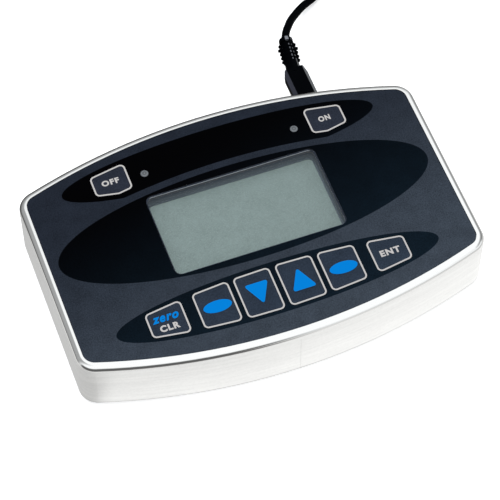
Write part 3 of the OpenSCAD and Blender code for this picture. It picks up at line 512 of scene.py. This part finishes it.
class ANALYZER_OT_stage(bpy.types.Operator):
    """Add the camera, the floor and the light"""

    bl_idname = "analyzer.stage"
    bl_label = "Stage"

    # Metres
    floor_half = 2.0
    # The bow of the case's front wall, and the middle of its arc
    bow_r = 0.2521
    bow_y = 0.1962
    # The point that the camera aims at
    aim = Vector((-5.08, -13.04, 28.0)) * MM
    softbox_place = Vector((-0.25, 0.2, 0.9))
    softbox_size = 0.6

    def execute(self, context):
        look = context.scene.analyzer_stage
        self.add_camera(look)
        self.add_floor()
        self.add_reflected_table()
        self.add_dome(look)
        self.add_softbox(look)
        context.scene.view_settings.view_transform = "Standard"
        return {"FINISHED"}

    def add_camera(self, look):
        flat = math.cos(look.elevation)
        back = Vector((math.sin(look.azimuth) * flat, -math.cos(look.azimuth) * flat,
                       math.sin(look.elevation)))
        bpy.ops.object.camera_add(location=self.aim + back * look.distance,
                                  rotation=(-back).to_track_quat("-Z", "Y").to_euler())
        camera = bpy.context.object
        camera.data.lens = look.lens
        camera.data.clip_start = 0.01
        bpy.context.scene.camera = camera

    def add_floor(self):
        bpy.ops.mesh.primitive_plane_add(size=2 * self.floor_half)
        floor = bpy.context.object
        floor.name = "floor"
        paper = plastic("Pale paper", (0.93, 0.93, 0.93), 0.8, 400, 0.01, 0.01 * MM, 0.1)
        paper.set("Emission Color", (1, 1, 1, 1))
        paper.set("Emission Strength", 0.35)
        dress(floor, paper.material)

    def add_reflected_table(self):
        """A sheet that only reflections show: the table as polished metal mirrors it."""
        bpy.ops.mesh.primitive_plane_add(size=2 * self.floor_half, location=(0, 0, 0.1 * MM))
        sheet = bpy.context.object
        sheet.name = "reflected_table"
        settle(sheet)
        sheet.visible_camera = sheet.visible_diffuse = sheet.visible_shadow = False
        sheet.visible_transmission = sheet.visible_volume_scatter = False
        finish = Finish("Reflected table", (0, 0, 0), 1, specular=0)
        x, y = finish.axes()[:2]
        ramp = partial(ramp_in, finish.tree)
        blend = partial(blend_in, finish.tree)
        multiply = partial(finish.math, "MULTIPLY")
        # Distance in front of the front bow, from the middle of its arc
        reach = finish.vector("LENGTH", finish.vector("SUBTRACT", finish.coords, (0, self.bow_y, 0)))
        away = finish.math("SUBTRACT", reach, self.bow_r)
        # In front it's white close to the case, and further out it goes from dark to light
        near = multiply(ramp(away, 0, 0.02, 1.06, 0.92), ramp(x, -0.08, 0.04, 0.99, 1.07))
        far = multiply(ramp(x, -0.015, 0.035, 0.15, 0.95), ramp(x, 0.11, 0.18, 1, 0.75))
        front = blend(ramp(away, 0.02, 0.06), near, far)
        # Light grey beside the left wall and the right rim, and dark behind the case
        left, right, back = ramp(x, -0.1, -0.14, 0.62, 0.8), 0.7, ramp(x, 0.0, 0.08, 0.09, 0.3)
        at_left = multiply(ramp(x, -0.074, -0.084), ramp(y, -0.068, -0.05))
        at_right = multiply(ramp(x, 0.084, 0.1), ramp(y, -0.045, -0.02))
        at_back = ramp(y, 0.05, 0.08)
        shade = blend(at_left, front, left)
        shade = blend(at_right, shade, right)
        shade = blend(at_back, shade, back)
        finish.feed("Emission Strength", shade)
        finish.set("Emission Color", (1, 1, 1, 1))
        dress(sheet, finish.material)

    def add_dome(self, look):
        """The sky: plain to the camera, soft white to dull faces, and a room with dark sides to metal."""
        world = bpy.data.worlds.new("Dome")
        bpy.context.scene.world = world
        world.use_nodes = True
        tree = world.node_tree
        tree.nodes.clear()
        way = node_in(tree, "ShaderNodeTexCoord", {}).outputs["Generated"]
        x, y, z = node_in(tree, "ShaderNodeSeparateXYZ", {0: way}).outputs[:3]
        ramp = partial(ramp_in, tree)
        blend = partial(blend_in, tree)
        multiply = partial(math_in, tree, "MULTIPLY")
        soft = ramp(z, 0.0, 0.5, 0.25 * look.dome, look.dome)
        # The room: a white ceiling, then grey to the left, grey to the right and dark at the back
        grey_left = multiply(ramp(x, -0.05, -0.3), ramp(y, -0.2, 0.3))
        room = blend(grey_left, 1.2, ramp(z, 0.1, 0.5, 0.33, 0.42))
        room = blend(ramp(x, 0.54, 0.86), room, 0.3)
        low_back = blend(ramp(x, 0.25, 0.65), ramp(x, 0.1, -0.35, 0.06, 0.2), 0.4)
        high_back = ramp(x, -0.2, 0.15, 0.38, 0.5)
        room = blend(ramp(y, 0.47, 0.8), room, blend(ramp(z, 0.05, 0.55), low_back, high_back))
        # In front a dark card, which ends to the right of the middle
        low_front = multiply(ramp(z, 0.6, 0.25), ramp(y, 0.1, -0.2))
        room = blend(low_front, room, ramp(x, 0.06, 0.29, 0.13, 1.04))
        path = node_in(tree, "ShaderNodeLightPath", {}).outputs
        strength = blend(path["Is Glossy Ray"], soft, room)
        light = node_in(tree, "ShaderNodeBackground", {"Color": (0.96, 0.98, 1.0), "Strength": strength})
        seen = node_in(tree, "ShaderNodeBackground", {"Color": (0.95, 0.95, 0.95), "Strength": 1.0})
        both = node_in(tree, "ShaderNodeMixShader", {0: path["Is Camera Ray"], 1: light.outputs[0],
                                                     2: seen.outputs[0]})
        out = tree.nodes.new("ShaderNodeOutputWorld")
        tree.links.new(both.outputs[0], out.inputs["Surface"])

    def add_softbox(self, look):
        bpy.ops.object.light_add(type="AREA", location=self.softbox_place,
                                 rotation=(-self.softbox_place).to_track_quat("-Z", "Y").to_euler())
        box = bpy.context.object
        box.visible_glossy = False
        box.data.size = self.softbox_size
        box.data.energy = look.lamp


class ANALYZER_OT_lead(bpy.types.Operator):
    """Finish the lead, and add its cord along the route and the barbs of its strain relief"""

    bl_idname = "analyzer.lead"
    bl_label = "Lead"

    # Millimetres. In the plan, places are measured from the tip of the strain relief
    tip = (49.208, 90.216, 13.495)
    relief_way = (3.1, 18, -1.8)
    out = [(1.4, 3.6, 12.9), (2.7, 6, 12.3), (4.4, 8.5, 11.4), (6.2, 11.2, 10.2), (8.4, 14, 8.8),
           (10.9, 16.7, 7.3), (13.5, 19.4, 5.8), (16.4, 22, 4.4), (19.6, 24.3, 3.2), (23.3, 26.5, 2.4),
           (27.3, 28.9, 2.1), (31.8, 31.7, 2.1), (36.9, 35.2, 2.1)]
    tail = [(16.8, 80.7, 5.5), (8.8, 80.5, 5.2), (0.8, 79.6, 4.6), (-7.2, 78.8, 4.1), (-13.2, 78.8, 4)]
    coil_centre = (24.8, 56.3)
    coil_radius = 24.35
    start_angle = -60
    turns = 7 + 150 / 360
    # Height of the coil's two layers, and the share of a turn in which the cord climbs between them
    low_z = 2.1
    high_z = 5.5
    climb = 0.25
    # Length of cord inside the strain relief
    grip = 3.0
    # Barbs of the strain relief: distance from its tip, then how far out they reach
    barbs = [(3.1, 3.75), (5.4, 4.3), (7.7, 3.95), (10.0, 3.95), (12.3, 3.9)]
    barb_root, barb_width, barb_height = 2.3, 1.1, 2.8

    def execute(self, context):
        look = context.scene.analyzer_lead
        exit_point = Vector(self.tip) * MM
        way = Vector(self.relief_way).normalized()
        route = [exit_point - self.grip * MM * way, exit_point]
        route += [self.place(*p) for p in self.out]
        route += self.coil_points(look)
        route += [self.place(*p) for p in self.tail]
        cord = self.add_curve(route, look.diameter)
        dress(cord, plastic("Lead jacket", look.jacket, 0.45, 1800, 0.25, 0.015 * MM, 0.02).material)
        moulding = moulding_material(look, exit_point, way)
        dress_nodes(moulding, "lead_plug", "far_plug")
        barbs = self.add_barbs(way)
        dress(barbs, moulding)
        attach(barbs, "case")
        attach(cord, "case")
        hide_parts("lead_cord", "lead_coil")
        return {"FINISHED"}

    def add_barbs(self, way):
        """Wedges that stand out on both sides of the strain relief's ribs."""
        barb = self.add_wedge()
        turn = way.to_track_quat("Y", "Z").to_matrix().to_4x4()
        # The wedge's root face goes to the axis, and from there out to where the barbs start
        to_axis = Matrix.Translation((0.5, 0, 0))
        to_root = Matrix.Translation((self.barb_root * MM, 0, 0))
        copies = []
        for from_tip, reach in self.barbs:
            rib = Matrix.Translation((Vector(self.tip) - way * from_tip) * MM) @ turn
            length = reach - self.barb_root
            size = Matrix.Diagonal((length * MM, self.barb_width * MM, self.barb_height * MM, 1))
            for side in (0, math.pi):
                copy = bpy.data.objects.new("barb", barb.data.copy())
                bpy.context.scene.collection.objects.link(copy)
                copy.data.transform(rib @ Matrix.Rotation(side, 4, "Z") @ to_root @ size @ to_axis)
                copies.append(copy)
        bpy.data.objects.remove(barb)
        deselect()
        for copy in copies:
            copy.select_set(True)
        bpy.context.view_layer.objects.active = copies[0]
        bpy.ops.object.join()
        barbs = bpy.context.object
        barbs.name = "relief_barbs"
        return barbs

    def add_wedge(self):
        """One barb, a unit long, wide and high, which narrows outwards along X."""
        deselect()
        bpy.ops.mesh.primitive_cube_add(size=1)
        barb = bpy.context.object
        bpy.ops.object.mode_set(mode="EDIT")
        bpy.ops.mesh.select_all(action="DESELECT")
        bpy.ops.object.mode_set(mode="OBJECT")
        for face in barb.data.polygons:
            face.select = face.normal.x > 0.9
        bpy.ops.object.mode_set(mode="EDIT")
        bpy.ops.transform.resize(value=(1, 0.25, 0.5))
        bpy.ops.mesh.select_all(action="SELECT")
        bpy.ops.mesh.bevel(offset=0.06, segments=2)
        bpy.ops.object.mode_set(mode="OBJECT")
        return barb

    def place(self, x, y, z):
        """A point of the route in metres, from its place beyond the strain relief's tip."""
        return Vector((self.tip[0] + x, self.tip[1] + y, z)) * MM

    def coil_points(self, look):
        """One layer that winds inwards on the floor, then one on top of it that winds outwards."""
        points = []
        half = self.turns / 2
        pitch = look.pitch / MM
        count = round(self.turns * look.points_per_turn)
        for i in range(1, count + 1):
            turn = self.turns * i / count
            radius = self.coil_radius - pitch * (half - abs(turn - half))
            rise = min(max((turn - half) / self.climb + 0.5, 0), 1)
            height = self.low_z + (self.high_z - self.low_z) * rise * rise * (3 - 2 * rise)
            angle = math.radians(self.start_angle + 360 * turn)
            points.append(self.place(self.coil_centre[0] + radius * math.cos(angle),
                                     self.coil_centre[1] + radius * math.sin(angle), height))
        return points

    def add_curve(self, route, diameter):
        curve = bpy.data.curves.new("lead_cord_run", "CURVE")
        curve.dimensions = "3D"
        spline = curve.splines.new("BEZIER")
        spline.bezier_points.add(len(route) - 1)
        for point, place in zip(spline.bezier_points, route):
            point.co = place
            point.handle_left_type = point.handle_right_type = "AUTO"
        curve.resolution_u = 4
        curve.bevel_depth = diameter / 2
        curve.bevel_resolution = 5
        curve.use_fill_caps = True
        cord = bpy.data.objects.new("lead_cord_run", curve)
        bpy.context.scene.collection.objects.link(cord)
        return cord


class ANALYZER_OT_case(bpy.types.Operator):
    """Finish the case, its cover, its screws and its feet"""

    bl_idname = "analyzer.case"
    bl_label = "Case"

    def execute(self, context):
        dress_nodes(case_metal(context.scene.analyzer_metal), "housing", "bottom_cover")
        dress_nodes(metal("Screw steel", (0.62, 0.62, 0.61), 0.3).material,
                    "cover_screws", "board_screws", "board_spacers")
        dress_nodes(plastic("Foot rubber", (0.02, 0.02, 0.02), 0.7, 900, 0.3, 0.05 * MM).material,
                    "rubber_feet")
        return {"FINISHED"}


class ANALYZER_OT_front(bpy.types.Operator):
    """Finish the front film, its printed fields and the keys"""

    bl_idname = "analyzer.front"
    bl_label = "Front"

    def execute(self, context):
        look = context.scene.analyzer_front
        film = printed("Front film", look.film, look.film_light)
        dress_nodes(film.material, "overlay_film")
        fields = printed("Printed fields", look.print_black, look.print_light)
        dress_nodes(fields.material, "black_fields")
        plain = key_material("plain", look)
        for name in KEYS:
            dress_nodes(key_material(name, look, middle_of(name)) if name in SIGNS else plain, name)
        for name in ("left_lamp", "right_lamp"):
            dress_nodes(lamp_material(look, middle_of(name)), name)
        return {"FINISHED"}


class ANALYZER_OT_legends(bpy.types.Operator):
    """Print the legends and the signs on the keys"""

    bl_idname = "analyzer.legends"
    bl_label = "Legends"

    # Word, key, ink, lean, weight, then left, right, low and high edge in millimetres
    words = (
        ("OFF", "off_key", "line", 0.0, 0.045, (-49.7, -42.5, 35.4, 38.1)),
        ("ON", "on_key", "line", 0.0, 0.045, (43.0, 48.0, 35.4, 38.1)),
        ("zero", "clear_key", "sign", 0.35, 0.04, (-51.7, -40.8, -32.3, -29.4)),
        ("CLR", "clear_key", "line", 0.0, 0.05, (-49.8, -41.9, -36.7, -33.7)),
        ("ENT", "enter_key", "line", 0.0, 0.045, (42.0, 50.3, -33.9, -31.0)),
    )
    spacing = 1.2
    # How deep the ink goes into the key, and how high words and signs stand
    sink = 0.01
    word_rise = 0.05
    sign_rise = 0.13
    # How far each rounding cuts into an arrow's corner, as a share of the circle round the arrow
    corner_cut = 0.24

    def execute(self, context):
        look = context.scene.analyzer_front
        inks = {name: plastic(f"Ink {name}", getattr(look, name), 0.5, 3000, 0.05, 0.005 * MM, 0.02)
                for name in ("line", "sign")}
        for word, key, ink, lean, weight, edges in self.words:
            piece = self.add_word(word, lean, weight)
            self.print_on(piece, key, inks[ink].material, edges, self.word_rise)
        for key, (corners, turn, edges) in SIGNS.items():
            piece = self.add_sign(key, corners, turn)
            self.print_on(piece, key, inks["sign"].material, edges, self.sign_rise)
        return {"FINISHED"}

    def print_on(self, piece, key, ink, edges, rise):
        """Fits a word or a sign between its edges on a key, and inks it."""
        fit(piece, [e * MM for e in edges], FILM_TOP - self.sink * MM, FILM_TOP + rise * MM)
        dress(piece, ink)
        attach(piece, key)

    def add_word(self, word, lean, weight):
        deselect()
        bpy.ops.object.text_add()
        text = bpy.context.object
        text.name = f"legend_{word.lower()}"
        text.data.body = word
        text.data.shear = lean
        text.data.space_character = self.spacing
        text.data.offset = weight
        text.data.extrude = 0.5
        text.data.resolution_u = 6
        bpy.ops.object.convert(target="MESH")
        return text

    def add_sign(self, key, corners, turn):
        """A flat sign: an oval of many corners, or an arrow with three rounded ones."""
        deselect()
        bpy.ops.mesh.primitive_circle_add(vertices=corners, radius=1, fill_type="NGON",
                                          rotation=(0, 0, turn))
        sign = bpy.context.object
        sign.name = f"sign_{key}"
        settle(sign)
        bpy.ops.object.mode_set(mode="EDIT")
        bpy.ops.mesh.select_all(action="SELECT")
        if corners == 3:
            bpy.ops.mesh.bevel(affect="VERTICES", offset=self.corner_cut, segments=6)
            bpy.ops.mesh.select_all(action="SELECT")
        bpy.ops.mesh.extrude_region_move(TRANSFORM_OT_translate={"value": (0, 0, 1)})
        bpy.ops.mesh.select_all(action="SELECT")
        bpy.ops.mesh.normals_make_consistent(inside=False)
        bpy.ops.object.mode_set(mode="OBJECT")
        return sign


class ANALYZER_OT_display(bpy.types.Operator):
    """Finish the display, its window and its lining"""

    bl_idname = "analyzer.display"
    bl_label = "Display"

    def execute(self, context):
        look = context.scene.analyzer_front
        dress_nodes(display_material(look), "display_glass")
        dress_nodes(pane_material(), "display_window")
        dress_nodes(lining_material(look), "display_gasket")
        dress_nodes(plastic("Display frame", look.gasket, 0.5, 1600, 0.1, 0.01 * MM).material,
                    "display_frame")
        dress_nodes(plastic("Light guide", (0.8, 0.82, 0.8), 0.4).material, "display_backlight")
        return {"FINISHED"}


class ANALYZER_OT_inside(bpy.types.Operator):
    """Finish the boards, the battery and what joins them"""

    bl_idname = "analyzer.inside"
    bl_label = "Inside"

    def execute(self, context):
        dress_nodes(plastic("Board lacquer", (0.02, 0.13, 0.05), 0.3, 700, 0.25).material,
                    "display_board", "main_board", "port_board")
        dress_nodes(plastic("Chip resin", (0.02, 0.02, 0.022), 0.5).material, "main_processor")
        dress_nodes(plastic("Flex circuit", (0.04, 0.042, 0.045), 0.35, 500, 0.2).material,
                    "keypad_circuit")
        dress_nodes(spacer_material(context.scene.analyzer_front), "keypad_spacer")
        dress_nodes(plastic("Pale nylon", (0.75, 0.72, 0.62), 0.45).material,
                    "keypad_connector", "battery_connector")
        dress_nodes(plastic("Battery wrap", (0.02, 0.09, 0.28), 0.3, 600, 0.15).material, "battery_pack")
        dress_nodes(plastic("Battery wires", (0.35, 0.02, 0.02), 0.45).material, "battery_leads")
        return {"FINISHED"}


class ANALYZER_OT_domes(bpy.types.Operator):
    """Add the snap domes, smoothed and in steel."""

    bl_idname = "analyzer.domes"
    bl_label = "Snap domes"

    pressed = 0.69  # share of a dome's height that is left under a pressed key

    def execute(self, context):
        steel = metal("Dome steel", (0.75, 0.74, 0.72), 0.25).material
        for name in DOMES:
            spring = bpy.data.objects.new(f"{name}_spring", NODES[name].data.copy())
            context.scene.collection.objects.link(spring)
            select_only(spring)
            bpy.ops.object.mode_set(mode="EDIT")
            bpy.ops.mesh.select_all(action="SELECT")
            bpy.ops.mesh.remove_doubles(threshold=0.001 * MM)
            bpy.ops.object.mode_set(mode="OBJECT")
            bpy.ops.object.shade_smooth_by_angle(angle=math.radians(30))
            dress(spring, steel)
            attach(spring, "case")
            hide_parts(name)
            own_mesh(spring)
        return {"FINISHED"}


class ANALYZER_OT_sockets(bpy.types.Operator):
    """Finish the sockets in the back, the far plug's shell and the coil's tie"""

    bl_idname = "analyzer.sockets"
    bl_label = "Sockets"

    def execute(self, context):
        dress_nodes(metal("Nickel", (0.72, 0.7, 0.66), 0.22).material, "socket_shell", "socket_nut",
                    "data_port", "plug_shell", "far_plug_shell")
        dress_nodes(metal("Gold plate", (0.9, 0.65, 0.25), 0.25).material, "socket_contacts")
        dress_nodes(plastic("Socket insert", (0.02, 0.02, 0.02), 0.5).material, "socket_insert",
                    "board_link")
        dress_nodes(plastic("Tie strap", (0.02, 0.02, 0.022), 0.8, 1200, 0.5, 0.08 * MM).material,
                    "coil_tie")
        return {"FINISHED"}


class ANALYZER_PT_panel(bpy.types.Panel):
    """Lists the steps that dress the analyzer"""

    bl_idname = "ANALYZER_PT_panel"
    bl_label = "Bench analyzer"
    bl_space_type = "VIEW_3D"
    bl_region_type = "UI"
    bl_category = "Analyzer"

    def draw(self, context):
        for step in STEPS:
            self.layout.operator(step.bl_idname)
        for name in LOOKS:
            look = getattr(context.scene, name)
            box = self.layout.box()
            for label in look.__annotations__:
                box.prop(look, label)


LOOKS = {"analyzer_front": AnalyzerFront, "analyzer_metal": AnalyzerMetal, "analyzer_lead": AnalyzerLead,
         "analyzer_stage": AnalyzerStage}
STEPS = (ANALYZER_OT_stage, ANALYZER_OT_lead, ANALYZER_OT_case, ANALYZER_OT_front, ANALYZER_OT_legends,
         ANALYZER_OT_display, ANALYZER_OT_inside, ANALYZER_OT_domes, ANALYZER_OT_sockets)


def register():
    for cls in (*LOOKS.values(), *STEPS, ANALYZER_PT_panel):
        bpy.utils.register_class(cls)
    for name, cls in LOOKS.items():
        setattr(bpy.types.Scene, name, PointerProperty(type=cls))


def unregister():
    for name in LOOKS:
        delattr(bpy.types.Scene, name)
    for cls in (ANALYZER_PT_panel, *reversed(STEPS), *reversed(LOOKS.values())):
        bpy.utils.unregister_class(cls)


def main():
    """Registers the add-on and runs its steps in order."""
    register()
    for step in STEPS:
        group, name = step.bl_idname.split(".")
        deselect()
        getattr(getattr(bpy.ops, group), name)()


if __name__ == "__main__":
    main()
